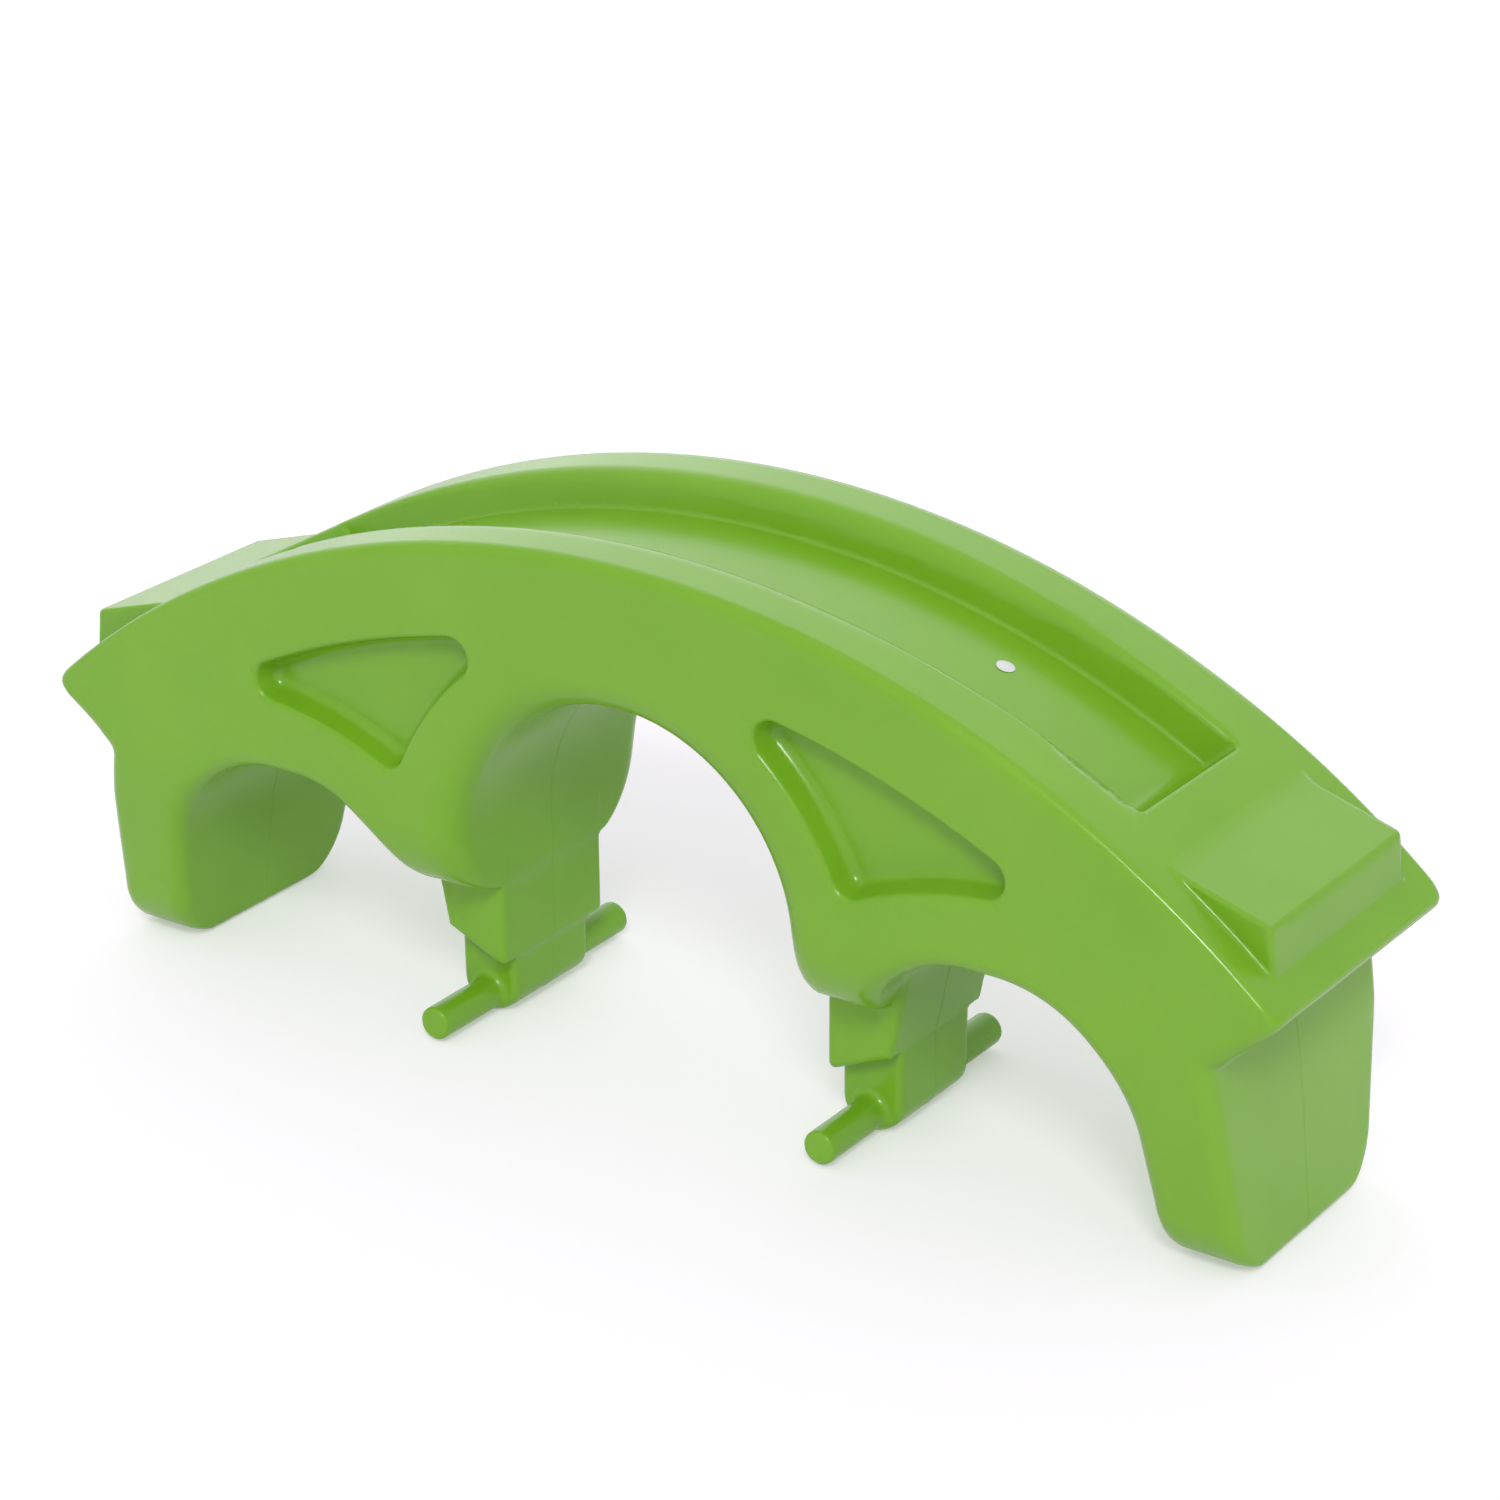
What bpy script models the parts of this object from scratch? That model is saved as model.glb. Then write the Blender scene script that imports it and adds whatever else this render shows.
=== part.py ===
"""Tunnel rocker: a one-piece hollow moulding with a snap-in vent plug.

Upright it is a low bridge with a tunnel under it. Turned over it rocks on its
two curved rims: the small arches are the seats, the end legs the backrests,
and the two middle posts carry the handles.

Metres, +Z up, +X along the length, -Y the front. The origin is on the floor,
under the middle of the object.
"""
import math

import bmesh
import bpy
from mathutils import Matrix, Vector

# Overall shape of the moulding
WIDTH = 0.281
RIM_TOP = 0.483
RIM_RADIUS = 0.9145
TIP_REACH = 0.6138
WALL = 0.0035
RIM_EDGE_RADIUS = 0.006
ARCH_EDGE_RADIUS = 0.0165
TUNNEL_EDGE_RADIUS = 0.030
EDGE_BLEND_DEPTH = 0.060

# Tunnel through the middle and the webs on either side of it
TUNNEL_HALF_WIDTH = 0.1665
CROWN_THICKNESS = 0.131
WEB_BOTTOM = 0.1282
WEB_CORNER_RADIUS = 0.009
WEB_CORNER_EDGE_RADIUS = 0.008
WEB_FLANK_ANGLE = math.radians(62.3)
WEB_FLANK_X = 0.2286
WEB_FLANK_RADIUS = 0.0185
WEB_END_RADIUS = 0.079
WEB_FADE_START_X = 0.246
WEB_FADE_END_X = 0.331

# Small arch at each end, which is the seat when the rocker is turned over
SEAT_TOP = 0.2163
SEAT_INNER_RADIUS = 0.108
SEAT_OUTER_RADIUS = 0.1265
SEAT_OUTER_X = 0.4706

# End legs, which are the backrests when the rocker is turned over
LEG_OUTER_FOOT_X = 0.5771
LEG_FOOT_LENGTH = 0.0717
LEG_BULGE_X = 0.5623
LEG_BULGE_Z = 0.150
LEG_BULGE_RADIUS = 0.080
LEG_CORNER_RADIUS = 0.010
NOTCH_X = 0.5543
NOTCH_Z = 0.1918
NOTCH_RADIUS = 0.008
TIP_RADIUS = 0.0068
TIP_CORNER_RADIUS = 0.018
TIP_CUT_BOTTOM = 0.150
LEG_TAPER_TOP = 0.190
LEG_TAPER_MIDDLE = 0.115
LEG_TAPER_BOTTOM = 0.055
LEG_FOOT_HALF_WIDTH = 0.1185
LEG_END_RADIUS = 0.0595
LEG_REGION_X = 0.440

# Channel sunk between the two rims
CHANNEL_END_X = 0.457
CHANNEL_HALF_WIDTH = 0.0775
CHANNEL_DEPTH = 0.032
CHANNEL_DRAFT = 0.007
CHANNEL_END_DRAFT = 0.009

# Stop block on the rims at each end
STOP_START_X = 0.500
STOP_END_X = 0.5855
STOP_END_Z = 0.3085
STOP_FOOT_X = 0.590
STOP_HALF_WIDTH = 0.107
STOP_EDGE_RADIUS = 0.004

# Three-sided recesses in the front and back faces
RECESS_RIM_MARGIN = 0.0800
RECESS_TUNNEL_MARGIN = 0.0590
RECESS_SEAT_MARGIN = 0.0690
RECESS_SEAT_RADIUS = 0.344
RECESS_SEAT_X = 0.385
RECESS_CORNER_RADIUS = 0.018
RECESS_DEPTH = 0.024
RECESS_DRAFT = 0.007

# Middle posts: a wide block above a narrower one that carries the handles
BLOCK_SET_BACK = 0.0006
BLOCK_OUTER_X = 0.2285
BLOCK_ROOT_X = 0.2460
BLOCK_ROOT_Z = 0.166
BLOCK_HALF_WIDTH = 0.0715
BLOCK_INNER_FOOT_Z = 0.054
BLOCK_OUTER_FOOT_Z = 0.0805
BLOCK_CORNER_RADIUS = 0.008
POST_INNER_X = 0.1700
POST_OUTER_X = 0.2275
POST_HALF_WIDTH = 0.0530
POST_FLOOR_GAP = 0.002
POST_OVERLAP = 0.020
POST_ROUNDNESS = 0.90
POST_EDGE_RADIUS = 0.005

# Handles, one out of each side of both posts
HANDLE_RADIUS = 0.0148
HANDLE_REACH = 0.1310
HANDLE_AXIS_Z = 0.0178
HANDLE_EDGE_RADIUS = 0.003
HANDLE_FLARE = 0.0025
HANDLE_FLARE_LENGTH = 0.008

# Vent plug pressed into the channel floor
PLUG_X = 0.277
PLUG_Y = 0.018
PLUG_HEAD_RADIUS = 0.008
PLUG_HEAD_EDGE = 0.0005
PLUG_DOME_RADIUS = 0.0064
PLUG_DOME_HEIGHT = 0.0011
PLUG_CROWN_RADIUS = 0.0032
PLUG_CROWN_HEIGHT = 0.0012
PLUG_SHANK_RADIUS = 0.0055
PLUG_BARB_RADIUS = 0.0066
PLUG_BARB_DEPTH = 0.0032
PLUG_BARB_EDGE = 0.0005
PLUG_TIP_RADIUS = 0.0033
PLUG_TIP_DEPTH = 0.0040
VENT_REACH = 0.015
CLEARANCE = 0.0003

# How finely the curves are divided, and how far a cutter runs past its cut
CHORD_ERROR = 0.0004
RIM_SEGMENTS = 32
EDGE_SEGMENTS = 3
INNER_EDGE_SEGMENTS = 2
ROUND_SEGMENTS = 16
END_LEVELS = (0, 25, 45, 60, 75)
BEVEL_ANGLE = math.radians(30.0)
SHADING_ANGLE = math.radians(40.0)
STOP_ROOT_DEPTH = 0.010
OVERRUN = 0.020
MERGE_DISTANCE = 0.00005

HALF_WIDTH = WIDTH / 2
RIM_CENTRE_Z = RIM_TOP - RIM_RADIUS
TUNNEL_TOP = RIM_TOP - CROWN_THICKNESS
LEG_INNER_FOOT_X = LEG_OUTER_FOOT_X - LEG_FOOT_LENGTH
BLOCK_INNER_X = TUNNEL_HALF_WIDTH + BLOCK_SET_BACK
LIME = (0.205, 0.445, 0.050, 1.0)
LIME_ROUGHNESS = 0.38
PLUG_WHITE = (0.80, 0.80, 0.78, 1.0)
PLUG_ROUGHNESS = 0.45


def clear_scene():
    for existing in list(bpy.data.objects):
        bpy.data.objects.remove(existing, do_unlink=True)


def make_material(name, colour, roughness):
    material = bpy.data.materials.new(name)
    material.use_nodes = True
    shader = material.node_tree.nodes["Principled BSDF"]
    shader.inputs["Base Color"].default_value = colour
    shader.inputs["Roughness"].default_value = roughness
    shader.inputs["Metallic"].default_value = 0.0
    return material


def make_object(name, mesh):
    obj = bpy.data.objects.new(name, mesh)
    bpy.context.scene.collection.objects.link(obj)
    return obj


def mesh_from(name, geometry):
    """Turn a bmesh into an object, with its faces facing out."""
    bmesh.ops.recalc_face_normals(geometry, faces=geometry.faces)
    mesh = bpy.data.meshes.new(name)
    geometry.to_mesh(mesh)
    geometry.free()
    return make_object(name, mesh)


def combine(target, tool, operation):
    """Apply one Boolean to target and remove the tool."""
    modifier = target.modifiers.new("cut", "BOOLEAN")
    modifier.operation = operation
    modifier.solver = "EXACT"
    modifier.object = tool
    bake_modifiers(target)
    bpy.data.objects.remove(tool, do_unlink=True)


def bake_modifiers(obj):
    bpy.context.view_layer.update()
    evaluated = obj.evaluated_get(bpy.context.evaluated_depsgraph_get())
    mesh = bpy.data.meshes.new_from_object(evaluated)
    obj.modifiers.clear()
    obj.data = mesh


def add_bevel(obj, width, segments):
    modifier = obj.modifiers.new("round", "BEVEL")
    modifier.width = width
    modifier.segments = segments
    modifier.limit_method = "ANGLE"
    modifier.angle_limit = BEVEL_ANGLE
    bake_modifiers(obj)


def rim_height(x, radius=RIM_RADIUS):
    return RIM_CENTRE_Z + math.sqrt(radius * radius - x * x)


def arc(centre, radius, start, end):
    """Points on an arc, both ends included, whose chords stay near the curve."""
    widest = 2 * math.acos(1 - min(1.0, CHORD_ERROR / radius))
    steps = max(1, math.ceil(abs(end - start) / widest))
    angles = [start + (end - start) * i / steps for i in range(steps + 1)]
    return [centre + radius * Vector((math.cos(a), math.sin(a))) for a in angles]


def fillet(before, corner, after, radius):
    """Replace one corner of an outline with an arc that meets both sides."""
    if radius <= 0.0:
        return [corner]
    into = (before - corner).normalized()
    out = (after - corner).normalized()
    half = into.angle(out) / 2
    centre = corner + (into + out).normalized() * (radius / math.sin(half))
    first = corner + into * (radius / math.tan(half)) - centre
    last = corner + out * (radius / math.tan(half)) - centre
    start = math.atan2(first.y, first.x)
    turn = math.remainder(math.atan2(last.y, last.x) - start, 2 * math.pi)
    return arc(centre, radius, start, start + turn)


def rounded(corners):
    """Closed outline through (x, z, radius) corners, each one filleted."""
    points = [Vector(corner[:2]) for corner in corners]
    outline = []
    for i, corner in enumerate(corners):
        following = points[(i + 1) % len(points)]
        outline += fillet(points[i - 1], points[i], following, corner[2])
    return [p for i, p in enumerate(outline) if (p - outline[i - 1]).length > MERGE_DISTANCE]


def offset_outline(outline, insets):
    """Move an anticlockwise outline inwards, by one inset for each point."""
    moved = []
    for i, point in enumerate(outline):
        ahead = (outline[(i + 1) % len(outline)] - point).normalized()
        behind = (point - outline[i - 1]).normalized()
        normals = [Vector((-side.y, side.x)) for side in (behind, ahead)]
        middle = (normals[0] + normals[1]).normalized()
        moved.append(point + middle * (insets[i] / middle.dot(normals[1])))
    return moved


def evenly_offset(outline, inset):
    return offset_outline(outline, [inset] * len(outline))


def mirrored(outline):
    """The same outline at the other end, still anticlockwise."""
    return [Vector((-point.x, point.y)) for point in reversed(outline)]


def side_outline():
    """The whole outline seen from the front, anticlockwise."""
    flank = math.tan(WEB_FLANK_ANGLE)
    flank_top_x = WEB_FLANK_X + (SEAT_TOP - WEB_BOTTOM) / flank
    half = [
        (TUNNEL_HALF_WIDTH, TUNNEL_TOP, TUNNEL_HALF_WIDTH),
        (TUNNEL_HALF_WIDTH, WEB_BOTTOM, WEB_CORNER_RADIUS),
        (WEB_FLANK_X, WEB_BOTTOM, WEB_FLANK_RADIUS),
        (flank_top_x, SEAT_TOP, SEAT_INNER_RADIUS),
        (SEAT_OUTER_X, SEAT_TOP, SEAT_OUTER_RADIUS),
        (LEG_INNER_FOOT_X, 0.0, LEG_CORNER_RADIUS),
        (LEG_OUTER_FOOT_X, 0.0, LEG_CORNER_RADIUS),
        (LEG_BULGE_X, LEG_BULGE_Z, LEG_BULGE_RADIUS),
        (NOTCH_X, NOTCH_Z, NOTCH_RADIUS),
        (TIP_REACH, rim_height(TIP_REACH), TIP_RADIUS),
    ]
    tip_angle = math.asin(TIP_REACH / RIM_RADIUS)
    rim = []
    for i in range(1, RIM_SEGMENTS):
        angle = tip_angle * (1 - 2 * i / RIM_SEGMENTS)
        x = RIM_RADIUS * math.sin(angle)
        rim.append((x, rim_height(x), 0.0))
    left = [(-x, z, radius) for x, z, radius in reversed(half)]
    return rounded(left + half + rim)


def stack(name, rings):
    """Closed solid through rings of points, all with as many points."""
    geometry = bmesh.new()
    loops = [[geometry.verts.new(point) for point in ring] for ring in rings]
    for lower, upper in zip(loops, loops[1:]):
        for i in range(len(lower)):
            j = (i + 1) % len(lower)
            geometry.faces.new((lower[i], lower[j], upper[j], upper[i]))
    geometry.faces.new(loops[0])
    geometry.faces.new(loops[-1])
    return mesh_from(name, geometry)


def ring_at(outline, y):
    return [(point.x, y, point.y) for point in outline]


def soft_slab(name, outline, half_width, radii, inset):
    """Outline made as thick as the width, its edges rounded by the radii."""
    segments = EDGE_SEGMENTS if inset == 0.0 else INNER_EDGE_SEGMENTS
    front = []
    for i in range(segments + 1):
        turn = math.pi / 2 * i / segments
        insets = [inset + (radius - inset) * (1 - math.cos(turn)) for radius in radii]
        depths = [half_width - inset - (radius - inset) * (1 - math.sin(turn)) for radius in radii]
        moved = offset_outline(outline, insets)
        front.append([(p.x, -depth, p.y) for p, depth in zip(moved, depths)])
    back = [[(x, -y, z) for x, y, z in ring] for ring in front]
    return stack(name, front[::-1] + back)


def round_end(height, radius):
    """How much a round end of that radius takes off each side at a height."""
    drop = min(radius, max(0.0, radius - height))
    return radius - math.sqrt(radius * radius - drop * drop)


def leg_half_width(z, inset):
    """Half of the leg's width at a height: a taper, then a round end."""
    straight = min(1.0, max(0.0, (LEG_TAPER_TOP - z) / (LEG_TAPER_TOP - LEG_TAPER_BOTTOM)))
    half = HALF_WIDTH + (LEG_FOOT_HALF_WIDTH - HALF_WIDTH) * straight - inset
    return half - round_end(z - inset, LEG_END_RADIUS - inset)


def web_half_width(z, inset):
    """Half of the web's width at a height: full, then a round end."""
    return HALF_WIDTH - inset - round_end(z - WEB_BOTTOM - inset, WEB_END_RADIUS - inset)


def web_share(x):
    """How much of the webs' round end is left at x: all of it, then fading."""
    share = (WEB_FADE_END_X - abs(x)) / (WEB_FADE_END_X - WEB_FADE_START_X)
    share = max(0.0, min(1.0, share))
    return share * share * (3 - 2 * share)


def narrow_ends(obj, inset):
    """Narrow the legs towards the floor, and round their ends and the webs'."""
    geometry = bmesh.new()
    geometry.from_mesh(obj.data)
    heights = [LEG_TAPER_TOP, LEG_TAPER_MIDDLE]
    for angle in END_LEVELS:
        rise = 1 - math.sin(math.radians(angle))
        heights.append(LEG_END_RADIUS * rise)
        heights.append(WEB_BOTTOM + WEB_END_RADIUS * rise)
    for height in heights:
        whole = geometry.verts[:] + geometry.edges[:] + geometry.faces[:]
        bmesh.ops.bisect_plane(geometry, geom=whole, plane_co=(0, 0, height + inset), plane_no=(0, 0, 1))
    full = HALF_WIDTH - inset
    for vertex in geometry.verts:
        x, z = vertex.co.x, vertex.co.z
        if abs(x) > LEG_REGION_X:
            vertex.co.y *= leg_half_width(z, inset) / full
        else:
            vertex.co.y /= 1 + (full / web_half_width(z, inset) - 1) * web_share(x)
    geometry.to_mesh(obj.data)
    geometry.free()


def edge_radius(point):
    """Radius of the edge round a face, by the part of the outline it is on."""
    depth = RIM_RADIUS - (point - Vector((0.0, RIM_CENTRE_Z))).length
    share = max(0.0, min(1.0, depth / EDGE_BLEND_DEPTH))
    on_tunnel = abs(point.x) < TUNNEL_HALF_WIDTH + CLEARANCE
    full = TUNNEL_EDGE_RADIUS if on_tunnel else ARCH_EDGE_RADIUS
    radius = RIM_EDGE_RADIUS + (full - RIM_EDGE_RADIUS) * share
    away = (Vector((abs(point.x), point.y)) - Vector((TUNNEL_HALF_WIDTH, WEB_BOTTOM))).length
    return min(radius, WEB_CORNER_EDGE_RADIUS + max(0.0, away - WEB_CORNER_RADIUS))


def tip_cutter(inset, face, end):
    """Rounds one corner of a tip, as seen from above."""
    radius = TIP_CORNER_RADIUS
    reach = max(point.x for point in side_outline())
    centre = Vector((reach - radius, HALF_WIDTH - radius)) + Vector((CLEARANCE, CLEARANCE))
    plan = arc(centre, radius - inset, math.pi / 2, 0.0)
    plan.append(Vector((plan[-1].x, centre.y - OVERRUN)))
    plan.append(Vector((TIP_REACH + OVERRUN, centre.y - OVERRUN)))
    plan.append(Vector((TIP_REACH + OVERRUN, HALF_WIDTH + OVERRUN)))
    plan.append(Vector((centre.x - OVERRUN, HALF_WIDTH + OVERRUN)))
    plan.append(Vector((centre.x - OVERRUN, plan[0].y)))
    levels = (TIP_CUT_BOTTOM, rim_height(centre.x) + OVERRUN)
    return stack("tip", [[(end * p.x, face * p.y, z) for p in plan] for z in levels])


def body_core(inset):
    """The arched block with soft edges, shrunk by the inset."""
    outline = side_outline()
    radii = [edge_radius(point) for point in outline]
    core = soft_slab("core", outline, HALF_WIDTH, radii, inset)
    narrow_ends(core, inset)
    for end in (-1, 1):
        for face in (-1, 1):
            combine(core, tip_cutter(inset, face, end), "DIFFERENCE")
    return core


def channel_cutter(grow):
    """What the channel takes out between the rims, grown by a wall."""
    floor = RIM_RADIUS - CHANNEL_DEPTH - grow
    top = RIM_RADIUS + OVERRUN
    draft = CHANNEL_DRAFT / CHANNEL_DEPTH
    lean = CHANNEL_END_DRAFT / CHANNEL_DEPTH
    steps = RIM_SEGMENTS
    geometry = bmesh.new()
    loops = []
    for i in range(steps + 1):
        loop = []
        for radius, side in ((floor, -1), (floor, 1), (top, 1), (top, -1)):
            half = CHANNEL_HALF_WIDTH + grow + draft * (radius - RIM_RADIUS)
            reach = CHANNEL_END_X + grow + lean * (radius - RIM_RADIUS)
            angle = math.asin(reach / RIM_RADIUS) * (1 - 2 * i / steps)
            x = radius * math.sin(angle)
            z = RIM_CENTRE_Z + radius * math.cos(angle)
            loop.append(geometry.verts.new((x, side * half, z)))
        loops.append(loop)
    for lower, upper in zip(loops, loops[1:]):
        for i in range(4):
            j = (i + 1) % 4
            geometry.faces.new((lower[i], lower[j], upper[j], upper[i]))
    geometry.faces.new(loops[0])
    geometry.faces.new(loops[-1])
    return mesh_from("channel", geometry)


def upper_crossing(a, radius_a, b, radius_b):
    """The upper crossing of two circles, or the one towards +X if level."""
    across = b - a
    distance = across.length
    along = (radius_a ** 2 - radius_b ** 2 + distance ** 2) / (2 * distance)
    rise = math.sqrt(radius_a ** 2 - along ** 2)
    base = a + across * (along / distance)
    normal = Vector((-across.y, across.x)) / distance
    return max((base + normal * rise, base - normal * rise), key=lambda p: (round(p.y, 6), p.x))


def arc_between(centre, start, finish):
    """The shorter arc about a centre from one point to another."""
    first = math.atan2(start.y - centre.y, start.x - centre.x)
    last = math.atan2(finish.y - centre.y, finish.x - centre.x)
    turn = math.remainder(last - first, 2 * math.pi)
    return arc(centre, (start - centre).length, first, first + turn)


def recess_outline():
    """Three-sided outline that keeps its margins to rim, tunnel and seat."""
    seat_centre = Vector((RECESS_SEAT_X, SEAT_TOP + RECESS_SEAT_MARGIN - RECESS_SEAT_RADIUS))
    tunnel_centre = Vector((0.0, TUNNEL_TOP - TUNNEL_HALF_WIDTH))
    corner = RECESS_CORNER_RADIUS
    tunnel = (tunnel_centre, TUNNEL_HALF_WIDTH + RECESS_TUNNEL_MARGIN, corner)
    seat = (seat_centre, RECESS_SEAT_RADIUS, corner)
    rim = (Vector((0.0, RIM_CENTRE_Z)), RIM_RADIUS - RECESS_RIM_MARGIN, -corner)
    sides = (tunnel, seat, rim)
    corner_arcs = []
    for side, following in zip(sides, sides[1:] + sides[:1]):
        middle = upper_crossing(side[0], side[1] + side[2], following[0], following[1] + following[2])
        ends = [c + (middle - c).normalized() * radius for c, radius, _ in (side, following)]
        corner_arcs.append(arc_between(middle, ends[0], ends[1]))
    outline = []
    for i, side in enumerate(sides):
        straight = arc_between(side[0], corner_arcs[i - 1][-1], corner_arcs[i][0])
        outline += straight[1:-1] + corner_arcs[i]
    return outline


def recess_cutter(grow, face, end):
    """What one recess takes out: face is -1 front or 1 back, end is -1 or 1."""
    outline = recess_outline()
    if end < 0:
        outline = mirrored(outline)
    slope = RECESS_DRAFT / RECESS_DEPTH
    depth = RECESS_DEPTH + grow
    rings = []
    for y in (HALF_WIDTH + RIM_EDGE_RADIUS, HALF_WIDTH - depth):
        inset = slope * (HALF_WIDTH - grow - y) - grow
        rings.append(ring_at(evenly_offset(outline, inset), face * y))
    return stack("recess", rings)


def stop_block(inset, end):
    """Block on the rims that stops the rocker from tipping too far."""
    start_z = rim_height(STOP_START_X)
    foot_z = rim_height(STOP_FOOT_X)
    corners = [
        (STOP_START_X, start_z),
        (STOP_START_X, start_z - OVERRUN),
        (STOP_FOOT_X, foot_z - STOP_ROOT_DEPTH),
        (STOP_FOOT_X, foot_z),
        (STOP_END_X, STOP_END_Z),
    ]
    outline = evenly_offset([Vector(corner) for corner in corners], inset)
    if end < 0:
        outline = mirrored(outline)
    half = STOP_HALF_WIDTH - inset
    block = stack("stop", [ring_at(outline, -half), ring_at(outline, half)])
    if inset == 0.0:
        add_bevel(block, STOP_EDGE_RADIUS, 2)
    return block


def upper_block(inset, end):
    """Wide block under a web, its foot slanted and its outer face leaning out."""
    outline = rounded([
        (BLOCK_INNER_X, BLOCK_INNER_FOOT_Z, BLOCK_CORNER_RADIUS),
        (BLOCK_OUTER_X, BLOCK_OUTER_FOOT_Z, BLOCK_CORNER_RADIUS),
        (BLOCK_ROOT_X, BLOCK_ROOT_Z, 0.0),
        (BLOCK_INNER_X, BLOCK_ROOT_Z, 0.0),
    ])
    if end < 0:
        outline = mirrored(outline)
    radii = [POST_EDGE_RADIUS] * len(outline)
    return soft_slab("block", outline, BLOCK_HALF_WIDTH, radii, inset)


def lower_post(inset, end):
    """Narrow post under the block, with a round end just off the floor."""
    radius = POST_ROUNDNESS * (POST_OUTER_X - POST_INNER_X) / 2
    top = BLOCK_OUTER_FOOT_Z + POST_OVERLAP
    outline = rounded([
        (POST_INNER_X, POST_FLOOR_GAP, radius),
        (POST_OUTER_X, POST_FLOOR_GAP, radius),
        (BLOCK_OUTER_X - CLEARANCE, BLOCK_OUTER_FOOT_Z, 0.0),
        (BLOCK_OUTER_X - CLEARANCE, top, 0.0),
        (POST_INNER_X, top, 0.0),
    ])
    if end < 0:
        outline = mirrored(outline)
    radii = [POST_EDGE_RADIUS] * len(outline)
    return soft_slab("post", outline, POST_HALF_WIDTH, radii, inset)


def turned(name, profile, segments):
    """Solid of revolution about its own Z axis through (radius, z) points."""
    geometry = bmesh.new()
    loops = []
    for radius, z in profile:
        angles = [2 * math.pi * i / segments for i in range(segments)]
        loops.append([geometry.verts.new((radius * math.cos(a), radius * math.sin(a), z)) for a in angles])
    for lower, upper in zip(loops, loops[1:]):
        for i in range(segments):
            j = (i + 1) % segments
            geometry.faces.new((lower[i], lower[j], upper[j], upper[i]))
    geometry.faces.new(loops[0])
    geometry.faces.new(loops[-1])
    return mesh_from(name, geometry)


def handle_pair(inset, end):
    """Round bar that comes out of both faces of a post, flared at its roots."""
    radius = HANDLE_RADIUS - inset
    root = POST_HALF_WIDTH - inset
    reach = HANDLE_REACH - inset
    half = []
    for i in range(EDGE_SEGMENTS + 1):
        share = i / EDGE_SEGMENTS
        half.append((radius + HANDLE_FLARE * (1 - share) ** 2, root + HANDLE_FLARE_LENGTH * share))
    for i in range(EDGE_SEGMENTS + 1):
        turn = math.pi / 2 * i / EDGE_SEGMENTS
        sunk = HANDLE_EDGE_RADIUS * (1 - math.cos(turn))
        half.append((radius - sunk, reach - HANDLE_EDGE_RADIUS * (1 - math.sin(turn))))
    profile = [(r, -z) for r, z in reversed(half)] + half
    bar = turned("handle", profile, ROUND_SEGMENTS)
    middle = (POST_INNER_X + POST_OUTER_X) / 2
    bar.data.transform(Matrix.Rotation(math.radians(90.0), 4, "X"))
    bar.data.transform(Matrix.Translation((end * middle, 0.0, HANDLE_AXIS_Z)))
    return bar


def moulding(inset):
    """The outer skin for inset 0, and the inner skin for inset WALL."""
    body = body_core(inset)
    for end in (-1, 1):
        combine(body, stop_block(inset, end), "UNION")
        combine(body, upper_block(inset, end), "UNION")
        combine(body, lower_post(inset, end), "UNION")
        combine(body, handle_pair(inset, end), "UNION")
    combine(body, channel_cutter(inset), "DIFFERENCE")
    for end in (-1, 1):
        for face in (-1, 1):
            combine(body, recess_cutter(inset, face, end), "DIFFERENCE")
    return body


def plug_frame():
    """Matrix from the plug's own axes, +Z out of the floor, to the world."""
    floor_radius = RIM_RADIUS - CHANNEL_DEPTH
    angle = math.asin(PLUG_X / floor_radius)
    place = Matrix.Translation((PLUG_X, PLUG_Y, rim_height(PLUG_X, floor_radius)))
    return place @ Matrix.Rotation(angle, 4, "Y")


def vent_hole():
    radius = PLUG_SHANK_RADIUS + CLEARANCE
    hole = turned("vent", [(radius, -VENT_REACH), (radius, VENT_REACH)], ROUND_SEGMENTS)
    hole.data.transform(plug_frame())
    return hole


def build_body(material):
    """Hollow shell, open only at the vent hole."""
    body = moulding(0.0)
    combine(body, moulding(WALL), "DIFFERENCE")
    combine(body, vent_hole(), "DIFFERENCE")
    body.name = "body_shell"
    body.data.materials.clear()
    body.data.materials.append(material)
    body.data.shade_smooth()
    body.data.set_sharp_from_angle(angle=SHADING_ANGLE)
    return body


def build_plug(material):
    """Domed head on the floor, shank in the vent hole, barb below the wall."""
    barb_top = -WALL - CLEARANCE
    profile = [
        (PLUG_TIP_RADIUS, barb_top - PLUG_TIP_DEPTH),
        (PLUG_SHANK_RADIUS, barb_top - PLUG_BARB_DEPTH),
        (PLUG_BARB_RADIUS, barb_top - PLUG_BARB_EDGE),
        (PLUG_BARB_RADIUS, barb_top),
        (PLUG_SHANK_RADIUS, barb_top),
        (PLUG_SHANK_RADIUS, CLEARANCE),
        (PLUG_HEAD_RADIUS, CLEARANCE),
        (PLUG_HEAD_RADIUS, CLEARANCE + PLUG_HEAD_EDGE),
        (PLUG_DOME_RADIUS, CLEARANCE + PLUG_DOME_HEIGHT),
        (PLUG_CROWN_RADIUS, CLEARANCE + PLUG_CROWN_HEIGHT),
    ]
    plug = turned("vent_plug", profile, ROUND_SEGMENTS)
    plug.data.transform(plug_frame())
    plug.data.materials.append(material)
    plug.data.shade_smooth()
    plug.data.set_sharp_from_angle(angle=SHADING_ANGLE)
    return plug


clear_scene()
build_body(make_material("lime_polyethylene", LIME, LIME_ROUGHNESS))
build_plug(make_material("plug_white", PLUG_WHITE, PLUG_ROUGHNESS))
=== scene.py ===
import math

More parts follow.
